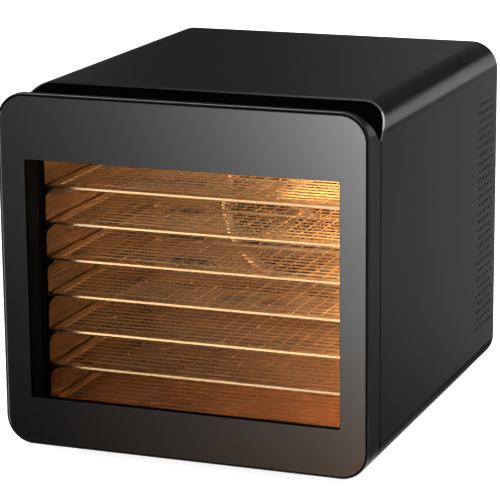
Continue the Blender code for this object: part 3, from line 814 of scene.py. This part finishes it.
def door_surround():
    """The moulded frame round the glass, rounded at its front edge and scooped out behind its top."""
    outside, jamb = frame_outside(), frame_jamb()
    bm = bmesh.new()
    loft(bm, outside + jamb, closed=True, looks=[0] * len(outside) + [1] * len(jamb))
    door = finish_mesh(bm, "door_surround", [FRAME_PLASTIC, GASKET], "door", ["door_frame"])
    edge = HALF + CLEAR_OF
    scoop = recess_side(LIP_CURVE, 0.040)
    carve(door, lambda tool: extrude_x(tool, scoop, -edge, edge))
    carve(door, hinge_notches)
    carve(door, hinge_bores)
    carve(door, lambda tool: plate_seat(tool, "left"))
    carve(door, lambda tool: plate_seat(tool, "right"))
    reshade(door, 32)
    keep_flats(door)
    return door


def door_pane():
    """One sheet of glass: black-printed round the edge, with a matt-black line of painted shadow under
    the clear window.
    """
    bm = bmesh.new()
    window = window_outline(0.0, 0.0015)
    back = HIGH.y
    layers = [
        (window, FRONT),
        (window_outline(0.0002, 0.0016, 0.0013), FRONT),
        (body_outline(GLASS_INSET + 0.0006), FRONT),
        (body_outline(GLASS_INSET + 0.0001), FRONT + 0.0002),
        (body_outline(GLASS_INSET), FRONT + 0.0006),
        (body_outline(GLASS_INSET), back - 0.0004),
        (body_outline(GLASS_INSET + 0.0004), back),
        (window, back),
    ]
    # The first band, a thin matt-black line that is widest under the window, is a painted shadow.
    for cap in loft(bm, layers, looks=[2] + [0] * (len(layers) - 2)):
        cap.material_index = 1
    return finish_mesh(bm, "door_pane", [BORDER, CLEAR, TOUCH], "door", ["door_glass"], angle=12)


def seal_bead():
    """The soft bead behind the door that presses on the cabinet's front face."""
    low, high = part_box("door_seal")
    outer = rounded((low.x, high.x), (low.z, high.z), 0.008, 10)
    inner = rounded((low.x + 0.0055, high.x - 0.0055), (low.z + 0.0055, high.z - 0.0030), 0.004, 10)
    middle, half = (low.y + high.y) / 2, (high.y - low.y) / 2
    layers = []
    for k in range(12):
        a = 2 * math.pi * k / 12
        share = 0.5 - 0.5 * math.cos(a)
        layers.append((between(outer, inner, share), middle + half * math.sin(a)))
    bm = bmesh.new()
    loft(bm, layers, closed=True)
    return finish_mesh(bm, "seal_bead", [GASKET], "door", ["door_seal"])


# ---- chamber -------------------------------------------------------------------------------------
def tray_rim(bm, low, high):
    """A flat pressed border with slightly rounded edges."""
    thick = high.z - low.z
    rim, edge = TRAY_RIM, TRAY_EDGE
    section = [
        (edge, 0.0), (0.0, edge), (0.0, thick - edge), (edge, thick),
        (rim - edge, thick), (rim, thick - edge), (rim, edge), (rim - edge, 0.0),
    ]
    rings = []
    for inset, height in section:
        x = (low.x + inset, high.x - inset)
        y = (low.y + inset, high.y - inset)
        outline = rounded(x, y, max(0.006 - inset, 0.001), 5)
        rings.append([bm.verts.new((u, v, low.z + height)) for u, v in outline])
    skin(bm, rings, closed=True)


def places_between(low, high, pitch):
    """Evenly spaced places between the rims, as near to the pitch as fits."""
    clear = high - low - 2 * TRAY_RIM
    count = round(clear / pitch)
    return [low + TRAY_RIM + clear * k / count for k in range(1, count)]


def tray_grid(index):
    """A tray as it is made: a flat pressed rim with a welded grid of wires inside it."""
    low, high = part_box(f"tray_{index}")
    bm = bmesh.new()
    tray_rim(bm, low, high)
    rim_faces = len(bm.faces)
    inset = TRAY_RIM - 0.002
    middle = (low.z + high.z) / 2
    z = middle + WIRE_R * 0.4
    for y in places_between(low.y, high.y, WIRE_PITCH_Y):
        bar(bm, (low.x + inset, y, z), (high.x - inset, y, z), WIRE_R)
    cross_faces = len(bm.faces)
    z = middle - WIRE_R * 0.5
    for x in places_between(low.x, high.x, WIRE_PITCH_X):
        bar(bm, (x, low.y + inset, z), (x, high.y - inset, z), CROSS_WIRE_R)
    for place, face in enumerate(bm.faces):
        face.material_index = (place >= rim_faces) + (place >= cross_faces)
    looks = [TRAY_STEEL, WIRE_STEEL, CROSS_WIRE_SHADE]
    return finish_mesh(bm, f"tray_{index}_grid", looks, f"tray_{index}", [f"tray_{index}"])


def fan_grille():
    """A finger guard of wire hoops on radial wires, inside the bell-mouth ring of the fan opening."""
    bm = bmesh.new()
    low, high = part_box("fan_guard")
    y = (low.y + high.y) / 2
    centre = (0, y, FAN_Z)
    bell = [
        (0.0745, 0.0004), (0.0742, 0.0), (0.0714, 0.0024), (0.0666, 0.0024),
        (0.0660, 0.0027), (0.0666, 0.0030), (0.0745, 0.0030),
    ]
    turned(bm, (0, low.y, FAN_Z), bell)
    first, pitch = GUARD_HOOP_R
    for k in range(GUARD_HOOPS):
        turned(bm, centre, circle(first + pitch * k, 0, 0.0007, 8), 72)
    spoke_r = 0.0008
    for k in range(GUARD_SPOKES):
        a = 2 * math.pi * (k + 0.5) / GUARD_SPOKES
        start = Vector((0.006 * math.cos(a), spoke_r, 0.006 * math.sin(a)))
        end = Vector((GUARD_RING * math.cos(a), spoke_r, GUARD_RING * math.sin(a)))
        bar(bm, Vector(centre) + start, Vector(centre) + end, spoke_r)
    small = circle(0, FAN_Z, 0.85 * GUARD_DISC_R, 40)
    full = circle(0, FAN_Z, GUARD_DISC_R, 40)
    loft(bm, [(small, y - 0.0012), (full, y - 0.0005), (full, y + 0.001)])
    return finish_mesh(bm, "fan_grille", [GUARD_STEEL], "cabinet", ["fan_guard"])


# ---- studio --------------------------------------------------------------------------------------
CAMERA_TARGET = Vector((0.0654, FRONT, BASE + 0.1977))
CAMERA_AZIMUTH = 21.05
CAMERA_ELEVATION = 13.80
CAMERA_ROLL = -0.512
CAMERA_DISTANCE = 2.098
CAMERA_LENS = 176.6

FLOOR_GLOW = 0.80
CARD_HEIGHT = 0.003
CARD_STEPS = 12
CARD_FROM = -0.02
CARD_BASE = -2.64
CARD_RIGHT_GAIN = 2.63
CARD_TOP_GAIN = 1.36
CARD_CORNER = (0.20, 0.45)
CARD_WARM = (1.0, 0.68, 0.48)
FILL_STRENGTH = 5.5
FILL_COLOUR = (1.0, 0.74, 0.45)

# How bright each part of the room is that the gloss mirrors, against the white of the studio.
AMBIENT = 1.15
ROOM_TOP = (0.015, 0.18)
ROOM_LEFT = 0.09
ROOM_RIGHT = 0.05
ROOM_CEILING = 0.0
ROOM_UP = 0.5
ROOM_STRIP = 16.0
ROOM_LOW_PEAK = 0.80
ROOM_LOW_LEFT = 0.30
ROOM_LOW_RIGHT = 0.0
ROOM_SKIRTING = 0.0
ROOM_SIDE = 0.45
ROOM_FAR_LEFT = 3.0
ROOM_DOWN = 4.0
ROOM_FRONT = 0.35


def camera():
    a, e = math.radians(CAMERA_AZIMUTH), math.radians(CAMERA_ELEVATION)
    back = Vector((math.sin(a) * math.cos(e), -math.cos(a) * math.cos(e), math.sin(e)))
    data = bpy.data.cameras.new("camera")
    data.lens = CAMERA_LENS
    data.sensor_width = 36.0
    data.clip_end = 100
    obj = bpy.data.objects.new("camera", data)
    obj.location = CAMERA_TARGET + back * CAMERA_DISTANCE
    obj.rotation_mode = "QUATERNION"
    turn = (-back).to_track_quat("-Z", "Y")
    obj.rotation_quaternion = turn @ Quaternion((0, 0, 1), math.radians(CAMERA_ROLL))
    bpy.context.scene.collection.objects.link(obj)
    bpy.context.scene.camera = obj
    return obj


def floor():
    """A pale, faintly mottled studio sweep."""
    made, nodes, links, shader = blank("studio_floor")
    cloud = noise_of(nodes, links, 3.0)
    pale = mixed(nodes, links, ranged(nodes, links, cloud, 0, 1), (0.90, 0.90, 0.90), (0.93, 0.93, 0.93))
    links.new(pale, shader.inputs["Base Color"])
    shader.inputs["Roughness"].default_value = 0.8
    shader.inputs["Specular IOR Level"].default_value = 0.1
    shader.inputs["Emission Color"].default_value = (1, 1, 1, 1)
    shader.inputs["Emission Strength"].default_value = FLOOR_GLOW
    bm = bmesh.new()
    size = 9.0
    corners = ((-size, -size), (size, -size), (size, size), (-size, size))
    bm.faces.new([bm.verts.new((x, y, -0.0002)) for x, y in corners])
    obj = finish_mesh(bm, "studio_floor", [made], None)
    obj.visible_glossy = False
    return obj


def card_glow():
    """Light that grows to the right and the top, is warmer low down, and dies away at the low left."""
    made, nodes, links, shader = blank("card_glow")
    nodes.remove(shader)
    uv = nodes.new("ShaderNodeUVMap")
    split = nodes.new("ShaderNodeSeparateXYZ")
    links.new(uv.outputs["UV"], split.inputs["Vector"])
    u, v = split.outputs["X"], split.outputs["Y"]

    def maths(operation, *values):
        return value_of(nodes, links, operation, *values)

    rise = maths("MULTIPLY_ADD", v, CARD_TOP_GAIN, CARD_BASE)
    power = maths("MULTIPLY_ADD", u, CARD_RIGHT_GAIN, rise)
    across = maths("POWER", maths("DIVIDE", u, CARD_CORNER[0]), 2.0)
    up = maths("POWER", maths("DIVIDE", v, CARD_CORNER[1]), 2.0)
    corner = maths("EXPONENT", maths("MULTIPLY", maths("ADD", across, up), -1.0))
    kept = maths("SUBTRACT", 1.0, corner)
    strength = maths("MULTIPLY", maths("EXPONENT", power), kept)
    glow = nodes.new("ShaderNodeEmission")
    tint = mixed(nodes, links, ranged(nodes, links, v, 0, 1, (0.0, 0.45)), CARD_WARM, (1.0, 1.0, 1.0))
    links.new(tint, glow.inputs["Color"])
    links.new(strength, glow.inputs["Strength"])
    links.new(glow.outputs[0], nodes["Material Output"].inputs["Surface"])
    return made


def fill_glow():
    """An even warm light with a slow cloud in it, for the steel behind the pane.

    It reaches the eye through both faces of the pane and back. The pane itself mirrors nothing of
    it, and it can't be looked at through the open door.
    """
    made, nodes, links, shader = blank("fill_glow")
    nodes.remove(shader)
    cloud = noise_of(nodes, links, 2.0)
    glow = nodes.new("ShaderNodeEmission")
    glow.inputs["Color"].default_value = (*FILL_COLOUR, 1)
    even = ranged(nodes, links, cloud, 0.9 * FILL_STRENGTH, 1.1 * FILL_STRENGTH)
    path = nodes.new("ShaderNodeLightPath")
    from_inside = value_of(nodes, links, "GREATER_THAN", path.outputs["Transmission Depth"], 2.5)
    links.new(value_of(nodes, links, "MULTIPLY", even, from_inside), glow.inputs["Strength"])
    looked_at = value_of(nodes, links, "LESS_THAN", path.outputs["Glossy Depth"], 0.5)
    clear = nodes.new("ShaderNodeBsdfTransparent")
    either = nodes.new("ShaderNodeMixShader")
    links.new(looked_at, either.inputs["Fac"])
    links.new(glow.outputs[0], either.inputs[1])
    links.new(clear.outputs[0], either.inputs[2])
    links.new(either.outputs[0], nodes["Material Output"].inputs["Surface"])
    return made


def floor_card(name, look, eye, height, reach, from_glass):
    """A light card on the floor in front, placed where the flat glass mirrors the view of the door.

    Each corner of its grid is where the mirrored view of one point of the pane meets the floor. It
    is seen in reflections straight off the glass, or only from inside, through the glass.
    """
    mirrored = Vector((eye.x, 2 * FRONT - eye.y, eye.z))
    span = 1.0 + 2 * reach
    bm = bmesh.new()
    layer = bm.loops.layers.uv.new("UVMap")
    grid = []
    for j in range(CARD_STEPS + 1):
        v = CARD_FROM + span * j / CARD_STEPS
        row = []
        for i in range(CARD_STEPS + 1):
            u = -reach + span * i / CARD_STEPS
            point = Vector((HALF * (2 * u - 1), FRONT, BASE + v * (TOP - BASE)))
            share = (eye.z - height) / (eye.z - point.z)
            hit = mirrored + (point - mirrored) * share
            row.append((bm.verts.new((hit.x, min(hit.y, FRONT - 0.004), height)), (u, v)))
        grid.append(row)
    for j in range(CARD_STEPS):
        for i in range(CARD_STEPS):
            corners = (grid[j][i], grid[j][i + 1], grid[j + 1][i + 1], grid[j + 1][i])
            face = bm.faces.new([vert for vert, _ in corners])
            for loop, (_, at) in zip(face.loops, corners):
                loop[layer].uv = at
    obj = finish_mesh(bm, name, [look], None)
    obj.visible_camera = False
    obj.visible_diffuse = False
    obj.visible_shadow = False
    obj.visible_volume_scatter = False
    obj.visible_glossy = from_glass
    obj.visible_transmission = not from_glass
    return obj


def area_light(name, place, look_at, size, power, colour=(1, 1, 1)):
    data = bpy.data.lights.new(name, "AREA")
    data.shape = "RECTANGLE"
    data.size, data.size_y = size
    data.energy = power
    data.color = colour
    obj = bpy.data.objects.new(name, data)
    obj.location = place
    obj.rotation_mode = "QUATERNION"
    obj.rotation_quaternion = (Vector(look_at) - Vector(place)).to_track_quat("-Z", "Y")
    bpy.context.scene.collection.objects.link(obj)
    return obj


def smooth_ramp(nodes, links, source, span, values):
    node = nodes.new("ShaderNodeMapRange")
    node.interpolation_type = "SMOOTHSTEP"
    node.inputs["From Min"].default_value, node.inputs["From Max"].default_value = span
    node.inputs["To Min"].default_value, node.inputs["To Max"].default_value = values
    links.new(source, node.inputs["Value"])
    return node.outputs["Result"]


def blend(nodes, links, factor, one, two):
    """A number or an output that goes from one to two with the factor."""
    node = nodes.new("ShaderNodeMix")
    node.data_type = "FLOAT"
    links.new(factor, node.inputs["Factor"])
    for socket, value in (("A", one), ("B", two)):
        if isinstance(value, float):
            node.inputs[socket].default_value = value
        else:
            links.new(value, node.inputs[socket])
    return node.outputs["Result"]


def reflected_room(nodes, links):
    """The brightness of the dim room that the gloss mirrors, by direction. X is right and Z is up.

    Each step fades from one part of the room to the next over a range of directions.
    """
    where = nodes.new("ShaderNodeTexCoord")
    split = nodes.new("ShaderNodeSeparateXYZ")
    links.new(where.outputs["Generated"], split.inputs["Vector"])
    x, y, z = split.outputs["X"], split.outputs["Y"], split.outputs["Z"]

    def past(source, low, high):
        return smooth_ramp(nodes, links, source, (low, high), (0.0, 1.0))

    def pick(factor, one, two):
        return blend(nodes, links, factor, one, two)

    def both(one, two):
        return value_of(nodes, links, "MULTIPLY", one, two)

    upper = smooth_ramp(nodes, links, x, (-0.38, -0.22), ROOM_TOP)
    upper = pick(past(x, -0.46, -0.37), ROOM_LEFT, upper)
    upper = pick(past(x, -0.10, 0.10), upper, ROOM_RIGHT)
    upper = pick(past(z, 0.20, 0.32), upper, ROOM_CEILING)
    upper = pick(past(z, 0.60, 0.80), upper, ROOM_UP)
    strip = both(both(past(z, 0.84, 0.89), past(x, -0.20, -0.30)), past(y, -0.14, -0.04))
    upper = pick(strip, upper, ROOM_STRIP)

    lower = smooth_ramp(nodes, links, x, (0.02, 0.18), (0.0, ROOM_LOW_PEAK))
    lower = pick(past(x, 0.205, 0.255), lower, ROOM_LOW_RIGHT)
    lower = pick(past(z, -0.33, -0.26), ROOM_SKIRTING, lower)
    lower = pick(past(x, -0.22, -0.08), ROOM_LOW_LEFT, lower)
    lower = pick(past(x, 0.65, 0.85), lower, ROOM_SIDE)
    lower = pick(past(x, -0.70, -0.50), ROOM_FAR_LEFT, lower)

    room = pick(past(z, -0.03, 0.03), lower, upper)
    room = pick(past(y, -0.75, -0.45), ROOM_FRONT, room)
    return pick(past(z, -0.60, -0.45), ROOM_DOWN, room)


def world():
    """An even white studio for diffuse light, and a dim graded room for reflections."""
    made = bpy.data.worlds.new("studio")
    bpy.context.scene.world = made
    made.use_nodes = True
    made.cycles.sampling_method = "NONE"
    nodes, links = made.node_tree.nodes, made.node_tree.links
    room = reflected_room(nodes, links)
    path = nodes.new("ShaderNodeLightPath")
    seen = blend(nodes, links, path.outputs["Is Glossy Ray"], 1.0, room)
    strength = blend(nodes, links, path.outputs["Is Diffuse Ray"], seen, AMBIENT)
    background = nodes["Background"]
    links.new(strength, background.inputs["Strength"])
    background.inputs["Color"].default_value = (1, 1, 1, 1)


def lights():
    area_light("overhead", (0.2, -0.3, 2.6), (0, 0, 0), (3.2, 3.2), 90)
    area_light("rim_box", (0.69, 1.37, 0.43), (0.17, 0.0, 0.25), (0.48, 0.40), 0.56)
    warm = (1.0, 0.48, 0.16)
    ember = (1.0, 0.30, 0.06)
    for name, z, tall, power, colour in (
        ("chamber_high", 0.245, 0.05, 0.47, warm),
        ("chamber_mid", 0.176, 0.09, 0.86, warm),
        ("chamber_low", 0.085, 0.06, 0.16, ember),
    ):
        area_light(name, (0.139, Y(0.036), z), (0.080, Y(0.270), z - 0.005), (0.012, tall), power, colour)
    area_light("chamber_glow", (0.09, Y(0.130), 0.276), (0.06, Y(0.200), 0.100), (0.10, 0.14), 0.34, warm)
    ring_side = (-GUARD_RING, Y(0.288), FAN_Z - 0.015)
    pale = (1.0, 0.70, 0.40)
    area_light("guard_glint", (0.138, Y(0.150), 0.222), ring_side, (0.012, 0.024), 0.90, pale)


# ---- build ---------------------------------------------------------------------------------------
def carried_over():
    """Finishes, and rounded edges where they show, for the CAD pieces that are shown as they are."""
    repaint(BEZEL_PLASTIC, "front_bezel", "thermal_cutout")
    repaint(RECESS_PAINTED_SHADE, "recess_panel")
    repaint(TOUCH, "touch_strip", "glass_mask")
    repaint(BOARD, "control_board", "power_board")
    repaint(LINER_SIDE, "liner_left", "liner_right")
    repaint(LINER, "liner_top")
    repaint(FLOOR_PAINTED_SHADE, "liner_floor")
    repaint(BAFFLE, "rear_baffle")
    repaint(RACK, "tray_rack_left", "tray_rack_right")
    repaint(CHAMBER_BACK_SHADE, "chamber_back")
    repaint(ZINC, "base_plate", "motor_bracket", "fan_motor", "hinge_arm_left", "hinge_arm_right")
    repaint(ZINC, "strike_plate_left", "strike_plate_right")
    repaint(BLADE, "fan_rotor")
    repaint(GUARD_STEEL, "motor_shaft", "temperature_probe", "hinge_pin_left", "hinge_pin_right")
    repaint(HEATER, "heating_element")
    repaint(LENS, "lamp_lens")
    repaint(CERAMIC, "lamp_holder")
    repaint(MAGNET, "catch_magnet_left", "catch_magnet_right")
    repaint(PIN_METAL, "inlet_pin_line", "inlet_pin_neutral", "inlet_pin_earth")
    for name in ("front_bezel", "tray_rack_left", "tray_rack_right", "recess_panel", "fan_rotor"):
        soften(NODES[name], 0.0002)
    for name in ("touch_strip", "lamp_holder", "lamp_lens"):
        soften(NODES[name], 0.0003)


def main():
    eye = camera()
    shell_wrap()
    for end in ("front", "rear"):
        for side in ("left", "right"):
            foot_pad(f"foot_pad_{end}_{side}", f"foot_{end}_{side}")
    rear_cover()
    corners = [(x, z) for z in SCREW_Z for x in (-SCREW_X, SCREW_X)]
    for index, (x, z) in enumerate(corners, 1):
        cover_screw(index, x, z)
    inlet_housing()
    door_surround()
    door_pane()
    seal_bead()
    for index in range(1, TRAYS + 1):
        tray_grid(index)
    fan_grille()
    carried_over()
    floor()
    floor_card("reflection_card", card_glow(), eye.location, CARD_HEIGHT, 0.10, True)
    floor_card("fill_card", fill_glow(), eye.location, CARD_HEIGHT * 2, 0.15, False)
    world()
    lights()
    bpy.context.scene.view_settings.view_transform = "Standard"


main()
